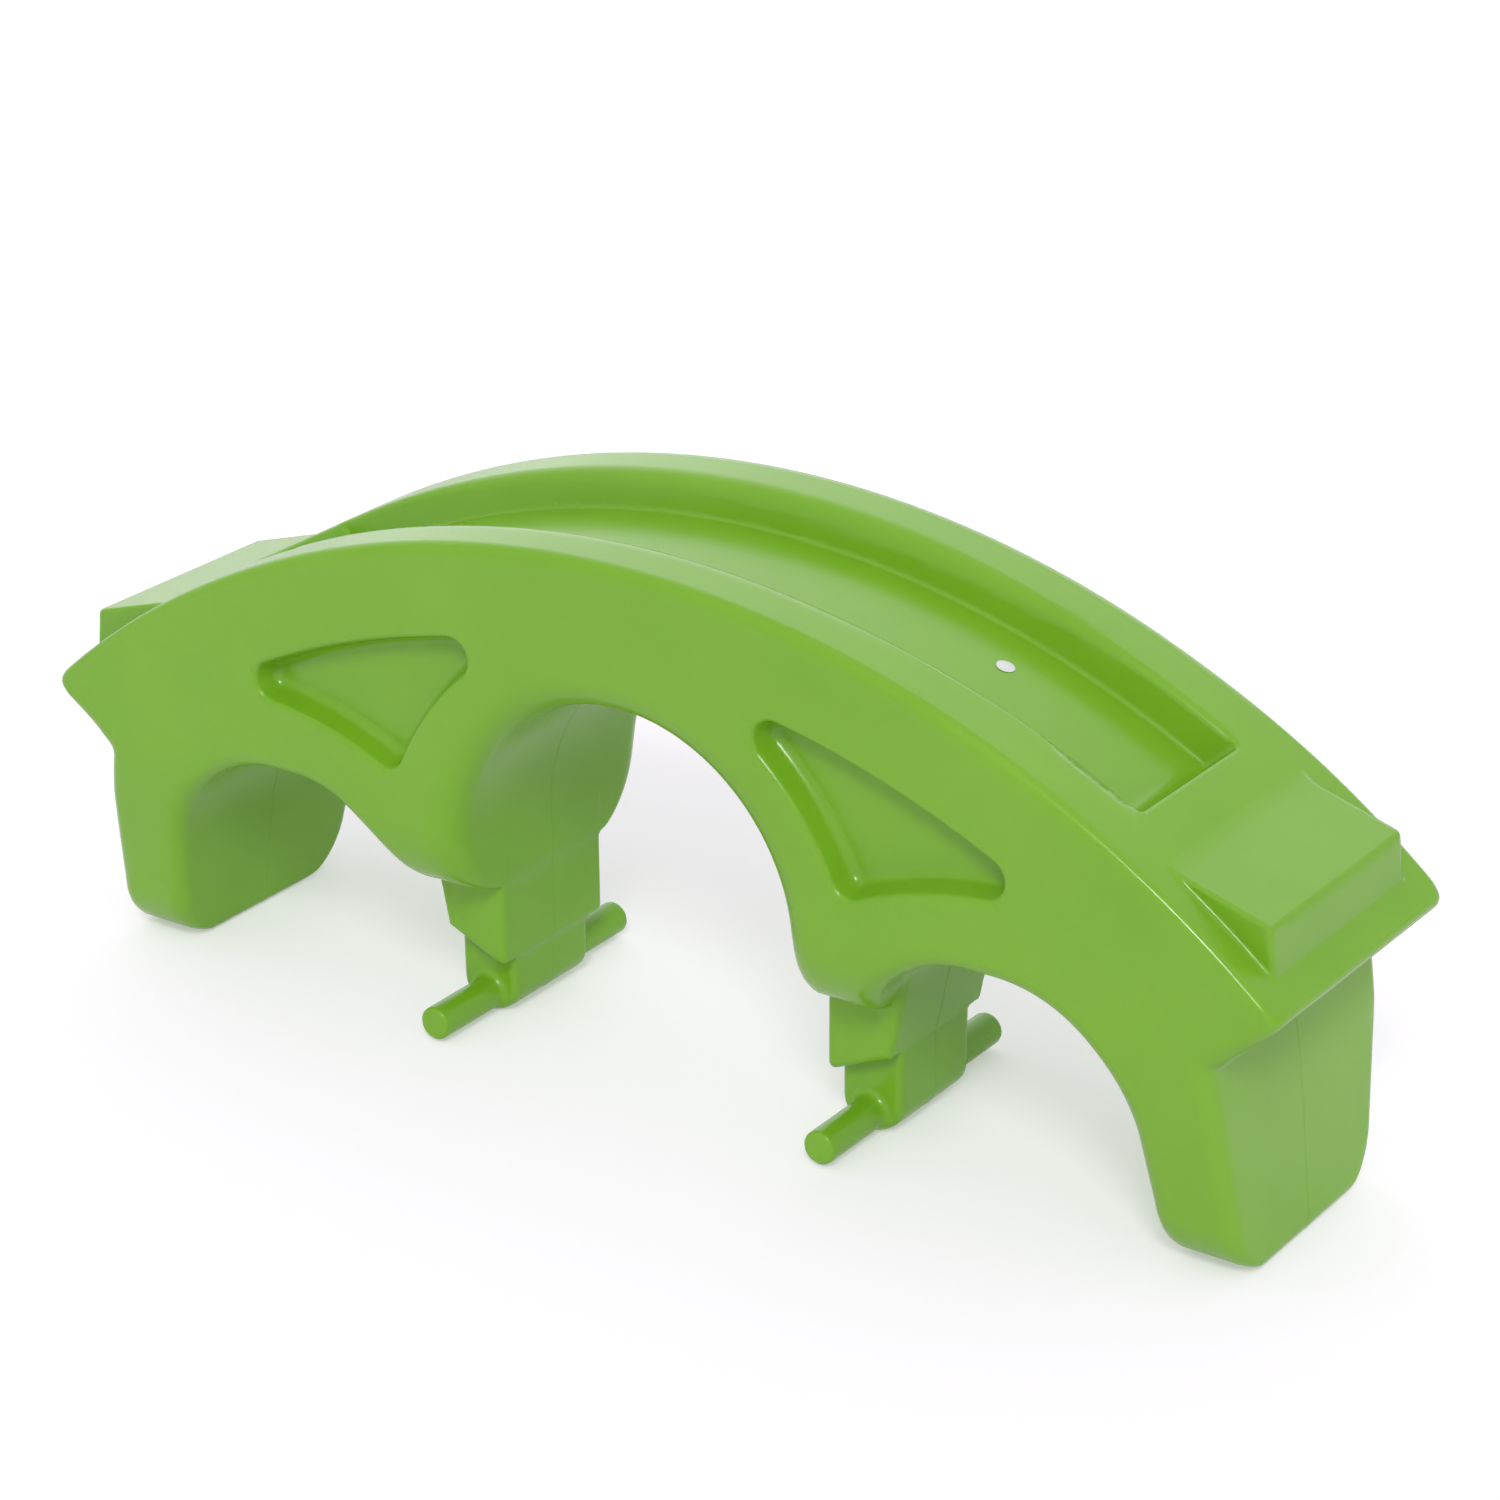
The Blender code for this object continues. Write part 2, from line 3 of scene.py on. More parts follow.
import bmesh
import bpy
import numpy as np
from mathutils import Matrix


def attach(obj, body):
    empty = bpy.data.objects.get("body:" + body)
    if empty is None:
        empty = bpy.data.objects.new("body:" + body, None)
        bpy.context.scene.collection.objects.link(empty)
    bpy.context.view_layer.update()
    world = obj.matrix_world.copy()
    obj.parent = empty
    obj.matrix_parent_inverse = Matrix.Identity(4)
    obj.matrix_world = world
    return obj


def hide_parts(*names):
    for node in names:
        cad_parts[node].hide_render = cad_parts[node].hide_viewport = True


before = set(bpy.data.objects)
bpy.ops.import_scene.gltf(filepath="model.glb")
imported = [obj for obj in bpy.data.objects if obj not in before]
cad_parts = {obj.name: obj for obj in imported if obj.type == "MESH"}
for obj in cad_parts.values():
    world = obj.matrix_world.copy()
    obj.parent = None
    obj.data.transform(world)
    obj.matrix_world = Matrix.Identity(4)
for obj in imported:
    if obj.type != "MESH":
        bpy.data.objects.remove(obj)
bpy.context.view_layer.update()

import openvdb
from mathutils import Matrix, Vector

# Overall shape of the moulding, in metres
HALF_WIDTH = 0.1405
RIM_TOP = 0.483
RIM_RADIUS = 0.9145
RIM_CENTRE_Z = RIM_TOP - RIM_RADIUS
TIP_REACH = 0.6136
TIP_RADIUS = 0.0068
TIP_PLAN_RADIUS = 0.018
TIP_PLAN_GAP = 0.004
RIM_EDGE_RADIUS = 0.006
CROWN_EDGE_RADIUS = 0.0105
CROWN_REGION = (0.36, 0.53)
ARCH_EDGE_RADIUS = 0.0165
TUNNEL_EDGE_RADIUS = 0.030
EDGE_BLEND_DEPTH = 0.060

# Tunnel, webs, seat arches and legs, seen from the front
TUNNEL_HALF_WIDTH = 0.1665
TUNNEL_TOP = 0.352
WEB_BOTTOM = 0.1282
WEB_CORNER_RADIUS = 0.009
WEB_FLANK_ANGLE = math.radians(62.3)
WEB_FLANK_X = 0.2286
WEB_FLANK_RADIUS = 0.0185
WEB_END_RADIUS = 0.079
WEB_REGION = (0.246, 0.331)
TUNNEL_EDGE_REGION = (0.205, 0.235)
SEAT_TOP = 0.2163
SEAT_INNER_RADIUS = 0.108
SEAT_OUTER_RADIUS = 0.1265
SEAT_OUTER_X = 0.4706
LEG_INNER_FOOT_X = 0.5054
LEG_OUTER_FOOT_X = 0.5771
LEG_CORNER_RADIUS = 0.010
LEG_BULGE = (0.5623, 0.150, 0.080)
NOTCH = (0.5543, 0.1918, 0.008)

# Legs, seen from the end
LEG_TAPER_TOP = 0.190
LEG_TAPER_BOTTOM = 0.055
LEG_TAPER_EASE = 0.25
LEG_FOOT_HALF_WIDTH = 0.1185
LEG_END_RADIUS = 0.0595
LEG_END_ROUND = 0.97
LEG_REGION = (0.360, 0.440)

# Channel between the rims
CHANNEL_END_X = 0.457
CHANNEL_HALF_WIDTH = 0.0775
CHANNEL_DEPTH = 0.032
CHANNEL_DRAFT = 0.007
CHANNEL_END_DRAFT = 0.009
CHANNEL_CROWN_EDGE = 0.015
CHANNEL_SIDE_EDGE = 0.006
CHANNEL_EDGE_REGION = (0.15, 0.43)
CHANNEL_END_EDGE = 0.003
CHANNEL_END_REGION = (-0.015, -0.004)
CHANNEL_CORNER_RADIUS = 0.006
CHANNEL_FLOOR_RADIUS = 0.003

# Stop blocks
STOP_START_X = 0.500
STOP_END_X = 0.5855
STOP_END_Z = 0.3085
STOP_FOOT_X = 0.590
STOP_FOOT_Z = 0.240
STOP_HALF_WIDTH = 0.107
STOP_SUNK = 0.012
STOP_START_GAP = 0.004
STOP_CORNER_RADIUS = 0.0045
STOP_TOP_RADIUS = 0.003
STOP_ROOT_RADIUS = 0.003

# Three-sided recesses. An arc is its centre's X and Z and its radius.
RECESS_RIM_MARGIN = 0.0801
RECESS_TUNNEL_ARC = (-0.0391, 0.1428, 0.2826)
RECESS_SEAT_ARC = (0.3852, -0.0587, 0.3441)
RECESS_CORNER_RADIUS = 0.0185
RECESS_DEPTH = 0.024
RECESS_DRAFT = 0.007
RECESS_EDGE_RADIUS = 0.004
RECESS_FLOOR_RADIUS = 0.007

# Middle posts
BLOCK_INNER_X = TUNNEL_HALF_WIDTH + 0.0006
BLOCK_OUTER_X = 0.2285
BLOCK_ROOT = (0.2460, 0.166)
BLOCK_HALF_WIDTH = 0.0715
BLOCK_INNER_FOOT_Z = 0.054
BLOCK_OUTER_FOOT_Z = 0.0805
BLOCK_FOOT_RADIUS = 0.008
BLOCK_ROOT_RADIUS = 0.003
POST_INNER_X = 0.1700
POST_OUTER_X = 0.2275
POST_HALF_WIDTH = 0.0530
POST_FLOOR_GAP = 0.002
POST_END_RADIUS = 0.0245
POST_ROOT_RADIUS = 0.004
POST_EDGE_RADIUS = 0.006
POST_SUNK = 0.020
POST_ROOT_REGION = (BLOCK_OUTER_X - 0.018, BLOCK_OUTER_X - 0.005)
NO_ROUNDING = 1e-6

# Handles
HANDLE_RADIUS = 0.0148
HANDLE_REACH = 0.1310
HANDLE_AXIS = ((POST_INNER_X + POST_OUTER_X) / 2, 0.0178)
HANDLE_END_RADIUS = 0.003
HANDLE_ROOT_RADIUS = 0.007
HANDLE_SUNK = 0.010

# Vent plug. The profile is radius and height over the channel's floor.
PLUG_PLACE = (0.277, 0.018)
PLUG_PROFILE = (
    (0.0033, -0.0078), (0.0055, -0.0070), (0.0066, -0.0043), (0.0066, -0.0038),
    (0.0055, -0.0038), (0.0055, 0.0003), (0.0078, 0.0003), (0.0080, 0.0005),
    (0.0079, 0.0008), (0.0073, 0.0011), (0.0060, 0.00135), (0.0035, 0.0015),
)
PLUG_SEGMENTS = 48
PLUG_SHARP_ANGLE = math.radians(40.0)

# Line that the mould's halves leave in the middle plane
MOULD_LINE_RADIUS = 0.0010
MOULD_LINE_HEIGHT = 0.00035
MOULD_LINE_SIDES = 8

# How finely the body is meshed
CELL = 0.0028
GRID_MARGIN = 3
FLAT_MERGE = 0.012
SURFACE_STEPS = 3
LEAST_STEEPNESS = 0.05
PROBE = 0.00005
SETTLE_STEPS = 6
FOLD_LIMIT = 0.7

# Floor, light and camera. A light is a direction, a radius and blur in degrees, and a strength.
FLOOR_REACH = 4.0
FLOOR_COLOUR = (0.72, 0.68, 0.75, 1.0)
FLOOR_GLOW = 0.18
FLOOR_SHOWN = 0.18
ROOM_LEVEL = 0.70
SOFTBOX = ((0.38, -0.62, 0.68), 5.0, 4.0, 24.0)
REAR_WALL = ((-0.55, 0.80, 0.15), 20.0, 40.0, 0.6)
CAMERA_PLACE = (1.86118, -2.60967, 1.64378)
CAMERA_RIGHT = (0.82192, 0.569572, -0.005916)
CAMERA_UP = (-0.219221, 0.325899, 0.919637)
CAMERA_BACK = (0.525727, -0.754571, 0.392725)
CAMERA_SENSOR = 36.0
CAMERA_LENS = 100.25


def rim_height(x):
    return RIM_CENTRE_Z + math.sqrt(RIM_RADIUS * RIM_RADIUS - x * x)


# The outline of one half, seen from the front


def straight(start, finish):
    return ("line", Vector(start), Vector(finish))


def bend(before, corner, after, radius):
    """The arc that rounds a corner between two straight runs."""
    into = (before - corner).normalized()
    out = (after - corner).normalized()
    half = into.angle(out) / 2
    centre = corner + (into + out).normalized() * (radius / math.sin(half))
    first = corner + into * (radius / math.tan(half)) - centre
    last = corner + out * (radius / math.tan(half)) - centre
    start = math.atan2(first.y, first.x)
    turn = math.remainder(math.atan2(last.y, last.x) - start, 2 * math.pi)
    return ("arc", centre, radius, start, turn)


def run_ends(piece):
    """First and last point of an arc or a straight run."""
    if piece[0] == "line":
        return piece[1], piece[2]
    _, centre, radius, start, turn = piece
    ends = []
    for angle in (start, start + turn):
        ends.append(centre + radius * Vector((math.cos(angle), math.sin(angle))))
    return ends


def half_outline():
    """Arcs and straight runs from the tunnel's crown round to the rim's top."""
    flank_x = WEB_FLANK_X + (SEAT_TOP - WEB_BOTTOM) / math.tan(WEB_FLANK_ANGLE)
    corners = [
        (TUNNEL_HALF_WIDTH, TUNNEL_TOP, TUNNEL_HALF_WIDTH),
        (TUNNEL_HALF_WIDTH, WEB_BOTTOM, WEB_CORNER_RADIUS),
        (WEB_FLANK_X, WEB_BOTTOM, WEB_FLANK_RADIUS),
        (flank_x, SEAT_TOP, SEAT_INNER_RADIUS),
        (SEAT_OUTER_X, SEAT_TOP, SEAT_OUTER_RADIUS),
        (LEG_INNER_FOOT_X, 0.0, LEG_CORNER_RADIUS),
        (LEG_OUTER_FOOT_X, 0.0, LEG_CORNER_RADIUS),
        LEG_BULGE,
        NOTCH,
    ]
    points = [Vector((0.0, TUNNEL_TOP))] + [Vector(corner[:2]) for corner in corners]
    tip = Vector((TIP_REACH, rim_height(TIP_REACH)))
    points.append(tip)
    pieces = []
    for i, corner in enumerate(corners):
        rounding = bend(points[i], points[i + 1], points[i + 2], corner[2])
        if pieces:
            pieces.append(straight(run_ends(pieces[-1])[1], run_ends(rounding)[0]))
        pieces.append(rounding)

    # The tip's rounding touches the straight underside and the rim's circle.
    foot = run_ends(pieces[-1])[1]
    along = (tip - foot).normalized()
    inward = Vector((-along.y, along.x))
    rim_centre = Vector((0.0, RIM_CENTRE_Z))
    base = foot + inward * TIP_RADIUS - rim_centre
    slope = base.dot(along)
    gap = base.length_squared - (RIM_RADIUS - TIP_RADIUS) ** 2
    reach = -slope + math.sqrt(slope * slope - gap)
    centre = rim_centre + base + along * reach
    first = math.atan2(-inward.y, -inward.x)
    last = math.atan2(centre.y - rim_centre.y, centre.x)
    pieces.append(straight(foot, foot + along * reach))
    pieces.append(("arc", centre, TIP_RADIUS, first, math.remainder(last - first, 2 * math.pi)))
    pieces.append(("arc", rim_centre, RIM_RADIUS, last, math.pi / 2 - last))
    return pieces


OUTLINE = half_outline()
TIP_END = OUTLINE[-2][1].x + TIP_RADIUS


def outline_distance(pieces, x, z):
    """Distance from a chain of arcs and straight runs, negative inside it."""
    nearest = np.full(np.broadcast(x, z).shape, np.inf)
    signed = np.zeros_like(nearest)
    for piece in pieces:
        if piece[0] == "line":
            start, finish = piece[1], piece[2]
            along = (finish - start).normalized()
            share = (x - start.x) * along.x + (z - start.y) * along.y
            share = np.clip(share, 0, (finish - start).length)
            away_x = x - (start.x + share * along.x)
            away_z = z - (start.y + share * along.y)
            side = away_x * along.y - away_z * along.x
        else:
            _, centre, radius, start, turn = piece
            middle = start + turn / 2
            angle = np.arctan2(z - centre.y, x - centre.x) - middle
            angle = np.remainder(angle + np.pi, 2 * np.pi) - np.pi
            angle = np.clip(angle, -abs(turn) / 2, abs(turn) / 2)
            out_x = np.cos(angle + middle)
            out_z = np.sin(angle + middle)
            away_x = x - (centre.x + radius * out_x)
            away_z = z - (centre.y + radius * out_z)
            side = math.copysign(1, turn) * (away_x * out_x + away_z * out_z)
        apart = np.hypot(away_x, away_z)
        closer = apart < nearest
        nearest = np.where(closer, apart, nearest)
        signed = np.where(closer, np.copysign(apart, side), signed)
    return signed


def crossing(first, radius, second, other_radius):
    """The upper crossing of two circles, or the one towards +X if level."""
    across = second - first
    along = (radius ** 2 - other_radius ** 2 + across.length_squared) / (2 * across.length)
    rise = math.sqrt(radius ** 2 - along ** 2)
    base = first + across.normalized() * along
    side = Vector((-across.y, across.x)).normalized() * rise
    return max((base + side, base - side), key=lambda p: (round(p.y, 6), p.x))


def arc_between(centre, start, finish):
    first = math.atan2(start.y - centre.y, start.x - centre.x)
    last = math.atan2(finish.y - centre.y, finish.x - centre.x)
    turn = math.remainder(last - first, 2 * math.pi)
    return ("arc", centre, (start - centre).length, first, turn)


def recess_outline():
    """Three-sided outline of arcs along the rim, the tunnel and the seat."""
    corner = RECESS_CORNER_RADIUS
    tunnel = (Vector(RECESS_TUNNEL_ARC[:2]), RECESS_TUNNEL_ARC[2], corner)
    seat = (Vector(RECESS_SEAT_ARC[:2]), RECESS_SEAT_ARC[2], corner)
    rim = (Vector((0, RIM_CENTRE_Z)), RIM_RADIUS - RECESS_RIM_MARGIN, -corner)
    sides = (tunnel, seat, rim)
    bends = []
    for side, following in zip(sides, sides[1:] + sides[:1]):
        middle = crossing(side[0], side[1] + side[2], following[0], following[1] + following[2])
        ends = [c + (middle - c).normalized() * radius for c, radius, _ in (side, following)]
        bends.append((arc_between(middle, *ends), ends))
    pieces = []
    for i, side in enumerate(sides):
        pieces.append(arc_between(side[0], bends[i - 1][1][1], bends[i][1][0]))
        pieces.append(bends[i][0])
    return pieces


RECESS_OUTLINE = recess_outline()


# Joining shapes


def overlap(a, b, radius):
    """What two shapes share, its edge rounded off by a radius."""
    corner = np.hypot(np.maximum(a + radius, 0), np.maximum(b + radius, 0))
    return corner + np.minimum(np.maximum(a, b), -radius)


def joined(a, b, radius):
    """Two shapes together, with a fillet of that radius between them."""
    return -overlap(-a, -b, radius)


def without(a, b, radius):
    """The first shape less the second, its new edge rounded off."""
    return overlap(a, -b, radius)


def ease(value, low, high):
    share = np.clip((value - low) / (high - low), 0, 1)
    return share * share * (3 - 2 * share)


def blend(first, last, share):
    return first + (last - first) * share


def plane(x, z, start, finish):
    """Distance outside the straight line through two points, material on its left."""
    along = (Vector(finish) - Vector(start)).normalized()
    return (x - start[0]) * along.y - (z - start[1]) * along.x


# The parts of the moulding


def leg_half_width(z):
    """Half of a leg's width at a height: a taper, then a round end."""
    taper = np.clip((LEG_TAPER_TOP - z) / (LEG_TAPER_TOP - LEG_TAPER_BOTTOM), 0, 1)
    taper = taper * taper * (1 + LEG_TAPER_EASE) / (taper + LEG_TAPER_EASE)
    half = HALF_WIDTH + (LEG_FOOT_HALF_WIDTH - HALF_WIDTH) * taper
    drop = np.clip(LEG_END_RADIUS - z, 0, LEG_END_ROUND * LEG_END_RADIUS)
    return half - LEG_END_RADIUS + np.sqrt(LEG_END_RADIUS ** 2 - drop * drop)


def web_half_width(z):
    """Half of a web's width at a height: its lower end is round."""
    drop = np.clip(WEB_END_RADIUS + WEB_BOTTOM - z, 0, LEG_END_ROUND * WEB_END_RADIUS)
    return HALF_WIDTH - WEB_END_RADIUS + np.sqrt(WEB_END_RADIUS ** 2 - drop * drop)


def arch(x, y, z, depth):
    """The arched block with soft edges, its legs narrowed to the floor."""
    leg = (HALF_WIDTH / leg_half_width(z) - 1) * ease(x, *LEG_REGION)
    web = (HALF_WIDTH / web_half_width(z) - 1) * (1 - ease(x, *WEB_REGION))
    stretch = 1 + leg + web
    under_edge = blend(TUNNEL_EDGE_RADIUS, ARCH_EDGE_RADIUS, ease(x, *TUNNEL_EDGE_REGION))
    rim_edge = blend(CROWN_EDGE_RADIUS, RIM_EDGE_RADIUS, ease(x, *CROWN_REGION))
    edge = blend(rim_edge, under_edge, ease(depth, 0, EDGE_BLEND_DEPTH))
    plan = overlap(x - TIP_END - TIP_PLAN_GAP, y * stretch - HALF_WIDTH, TIP_PLAN_RADIUS)
    return overlap(outline_distance(OUTLINE, x, z), plan, edge)


def channel(x, y, z, depth):
    side = y - CHANNEL_HALF_WIDTH + CHANNEL_DRAFT / CHANNEL_DEPTH * depth
    reach = CHANNEL_END_X - CHANNEL_END_DRAFT / CHANNEL_DEPTH * depth
    turn = np.arctan2(x, z - RIM_CENTRE_Z) - np.arcsin(reach / RIM_RADIUS)
    end = turn * (RIM_RADIUS - depth)
    plan = overlap(side, end, CHANNEL_CORNER_RADIUS)
    rounding = blend(CHANNEL_CROWN_EDGE, CHANNEL_SIDE_EDGE, ease(x, *CHANNEL_EDGE_REGION))
    rounding = blend(rounding, CHANNEL_END_EDGE, ease(end, *CHANNEL_END_REGION))
    return overlap(plan, depth - CHANNEL_DEPTH, CHANNEL_FLOOR_RADIUS), rounding


def recess(x, y, z):
    sunk = HALF_WIDTH - y
    plan = outline_distance(RECESS_OUTLINE, x, z) + RECESS_DRAFT / RECESS_DEPTH * sunk
    return overlap(plan, sunk - RECESS_DEPTH, RECESS_FLOOR_RADIUS)


def stop_block(x, y, z):
    top = plane(x, z, (STOP_END_X, STOP_END_Z), (STOP_START_X, rim_height(STOP_START_X)))
    end = plane(x, z, (STOP_FOOT_X, rim_height(STOP_FOOT_X)), (STOP_END_X, STOP_END_Z))
    plan = overlap(end, y - STOP_HALF_WIDTH, STOP_CORNER_RADIUS)
    block = overlap(plan, top, STOP_TOP_RADIUS)
    low = rim_height(STOP_FOOT_X) - STOP_SUNK - z
    return np.maximum(np.maximum(block, STOP_START_X - STOP_START_GAP - x), low)


def upper_block(x, y, z):
    foot_in = (BLOCK_INNER_X, BLOCK_INNER_FOOT_Z)
    foot_out = (BLOCK_OUTER_X, BLOCK_OUTER_FOOT_Z)
    under = plane(x, z, foot_in, foot_out)
    inner = overlap(BLOCK_INNER_X - x, under, BLOCK_FOOT_RADIUS)
    plan = np.maximum(inner, plane(x, z, foot_out, BLOCK_ROOT))
    return overlap(np.maximum(plan, z - BLOCK_ROOT[1]), y - BLOCK_HALF_WIDTH, POST_EDGE_RADIUS)


def lower_post(x, y, z):
    outer = plane(x, z, (POST_OUTER_X, POST_FLOOR_GAP), (BLOCK_OUTER_X, BLOCK_OUTER_FOOT_Z))
    sides = np.maximum(POST_INNER_X - x, outer)
    plan = overlap(sides, POST_FLOOR_GAP - z, POST_END_RADIUS)
    plan = np.maximum(plan, z - BLOCK_OUTER_FOOT_Z - POST_SUNK)
    return overlap(plan, y - POST_HALF_WIDTH, POST_EDGE_RADIUS)


def handle(x, y, z):
    round_bar = np.hypot(x - HANDLE_AXIS[0], z - HANDLE_AXIS[1]) - HANDLE_RADIUS
    bar = overlap(round_bar, y - HANDLE_REACH, HANDLE_END_RADIUS)
    return np.maximum(bar, POST_HALF_WIDTH - HANDLE_SUNK - y)


def moulding_distance(x, y, z):
    """Distance from the outside of the moulding, negative inside it."""
    x = np.abs(x)
    y = np.abs(y)
    depth = RIM_RADIUS - np.hypot(x, z - RIM_CENTRE_Z)
    body = arch(x, y, z, depth)
    body = joined(body, stop_block(x, y, z), STOP_ROOT_RADIUS)
    void, rounding = channel(x, y, z, depth)
    body = without(body, void, rounding)
    body = without(body, recess(x, y, z), RECESS_EDGE_RADIUS)
    root = POST_ROOT_RADIUS * (1 - ease(x, *POST_ROOT_REGION)) + NO_ROUNDING
    post = joined(upper_block(x, y, z), lower_post(x, y, z), root)
    post = joined(post, handle(x, y, z), HANDLE_ROOT_RADIUS)
    body = joined(body, post, BLOCK_ROOT_RADIUS)
    return np.maximum(body, -z)


def surface_normals(points):
    """Outward direction and steepness of the distance at each point."""
    slopes = []
    for axis in range(3):
        step = np.zeros(3)
        step[axis] = PROBE
        ahead = moulding_distance(*(points + step).T)
        behind = moulding_distance(*(points - step).T)
        slopes.append((ahead - behind) / (2 * PROBE))
    return np.stack(slopes, 1)


def moulding_mesh():
    """Mesh of the moulding's outside, every point put exactly on the surface."""
    reach = (TIP_REACH, HALF_WIDTH, RIM_TOP)
    counts = [int(math.ceil(size / CELL)) + GRID_MARGIN for size in reach]
    xs = np.arange(counts[0]) * CELL
    ys = np.arange(counts[1]) * CELL
    zs = (np.arange(counts[2] + GRID_MARGIN) - GRID_MARGIN) * CELL + CELL / 2
    quarter = moulding_distance(xs[:, None, None], ys[None, :, None], zs[None, None, :])
    half = np.concatenate([quarter[:0:-1], quarter], 0)
    whole = np.concatenate([half[:, :0:-1], half], 1)
    band = GRID_MARGIN * CELL
    grid = openvdb.FloatGrid(band)
    grid.copyFromArray(np.clip(whole, -band, band).astype(np.float32))
    points, triangles, quads = grid.convertToPolygons(isovalue=0.0, adaptivity=FLAT_MERGE)
    origin = np.array([-(counts[0] - 1) * CELL, -(counts[1] - 1) * CELL, zs[0]])
    points = np.asarray(points, float) * CELL + origin
    for _ in range(SURFACE_STEPS):
        slopes = surface_normals(points)
        steep = np.maximum((slopes ** 2).sum(1), LEAST_STEEPNESS)
        move = moulding_distance(*points.T) / steep
        points -= slopes * np.clip(move, -CELL, CELL)[:, None]
    return points, triangles.tolist() + quads.tolist()


def add_object(name, data):
    obj = bpy.data.objects.new(name, data)
    bpy.context.scene.collection.objects.link(obj)
    return obj


# Materials


class Socket:
    """A socket of a material, on which ordinary arithmetic adds Math nodes."""

    def __init__(self, finish, socket):
        self.finish = finish
        self.socket = socket

    def _math(self, operation, a, b):
        return self.finish.node("ShaderNodeMath", {"operation": operation}, {0: a, 1: b})

    def __add__(self, other):
        return self._math("ADD", self, other)

    def __rsub__(self, other):
        return self._math("SUBTRACT", other, self)

    def __mul__(self, other):
        return self._math("MULTIPLY", self, other)

    __radd__ = __add__
    __rmul__ = __mul__


class Finish:
    """The node tree of a material or of the world, made node by node."""

    def __init__(self, owner):
        self.owner = owner
        owner.use_nodes = True
        self.tree = owner.node_tree
        self.tree.nodes.clear()

    def node(self, kind, settings=None, inputs=None, output=0):
        made = self.tree.nodes.new(kind)
        for key, value in (settings or {}).items():
            setattr(made, key, value)
        for key, value in (inputs or {}).items():
            if isinstance(value, Socket):
                self.tree.links.new(value.socket, made.inputs[key])
            else:
                made.inputs[key].default_value = value
        return Socket(self, made.outputs[output]) if made.outputs else None

    def noise(self, place, scale, detail=2.0, roughness=0.5):
        values = {"Vector": place, "Scale": scale, "Detail": detail, "Roughness": roughness}
        return self.node("ShaderNodeTexNoise", None, values, "Fac")

    def mix(self, share, first, last):
        colours = {0: share, 6: first, 7: last}
        return self.node("ShaderNodeMix", {"data_type": "RGBA"}, colours, 2)

    def bump(self, height, strength, distance):
        values = {"Height": height, "Strength": strength, "Distance": distance}
        return self.node("ShaderNodeBump", None, values)

    def surface(self, shader):
        kind = "World" if isinstance(self.owner, bpy.types.World) else "Material"
        self.node("ShaderNodeOutput" + kind, None, {"Surface": shader})
        return self.owner


LIME_LIGHT = (0.192, 0.428, 0.020, 1.0)
LIME_DEEP = (0.172, 0.402, 0.015, 1.0)
RUB_STRETCH = (1.0, 14.0, 14.0)
PLUG_PALE = (0.80, 0.81, 0.83, 1.0)
PLUG_GREY = (0.70, 0.71, 0.73, 1.0)


def lime_polyethylene():
    """Satin moulded plastic: faint mottle in the colour, orange peel, fine rubs."""
    finish = Finish(bpy.data.materials.new("lime_polyethylene"))
    place = finish.node("ShaderNodeTexCoord", None, None, "Object")
    mottle = finish.noise(place, 9.0, 3.0)
    cloud = finish.noise(place, 2.2, 1.0)
    patches = {"Value": mottle * 0.6 + cloud * 0.4, "From Min": 0.35, "From Max": 0.65}
    colour = finish.mix(finish.node("ShaderNodeMapRange", None, patches), LIME_DEEP, LIME_LIGHT)
    along = finish.node("ShaderNodeMapping", None, {"Vector": place, "Scale": RUB_STRETCH})
    rubs = finish.noise(along, 30.0, 4.0)
    peel = finish.noise(place, 170.0, 2.0)
    grain = finish.noise(place, 620.0, 2.0)
    bump = finish.bump(peel * 0.8 + grain * 0.2, 0.25, 0.0002)
    shader = finish.node("ShaderNodeBsdfPrincipled", None, {
        "Base Color": colour,
        "Roughness": rubs * 0.10 + 0.18,
        "Normal": bump,
        "IOR": 1.5,
    })
    return finish.surface(shader)


def plug_plastic():
    """Matt white plastic with faint specks."""
    finish = Finish(bpy.data.materials.new("plug_white"))
    place = finish.node("ShaderNodeTexCoord", None, None, "Object")
    specks = finish.noise(place, 400.0, 3.0)
    colour = finish.mix(specks, PLUG_GREY, PLUG_PALE)
    bump = finish.bump(specks, 0.1, 0.0003)
    shader = finish.node("ShaderNodeBsdfPrincipled", None, {
        "Base Color": colour,
        "Roughness": specks * 0.1 + 0.35,
        "Normal": bump,
    })
    return finish.surface(shader)


# The pieces


def settle(points, faces):
    """Even out the few faces that the meshing left folded over."""
    mesh = bmesh.new()
    vertices = [mesh.verts.new(point) for point in points]
    for face in faces:
        mesh.faces.new([vertices[i] for i in face])
    for _ in range(SETTLE_STEPS):
        mesh.normal_update()
        centres = np.array([face.calc_center_median() for face in mesh.faces])
        slopes = surface_normals(centres)
        facing = (np.array([face.normal for face in mesh.faces]) * slopes).sum(1)
        facing /= np.linalg.norm(slopes, axis=1)
        mesh.faces.ensure_lookup_table()
        folded = {v for i in np.flatnonzero(facing < FOLD_LIMIT) for v in mesh.faces[i].verts}
        if not folded:
            break
        for vertex in folded:
            around = [edge.other_vert(vertex).co for edge in vertex.link_edges]
            vertex.co = sum(around, Vector()) / len(around)
    points = np.array([vertex.co for vertex in mesh.verts])
    mesh.free()
    return points


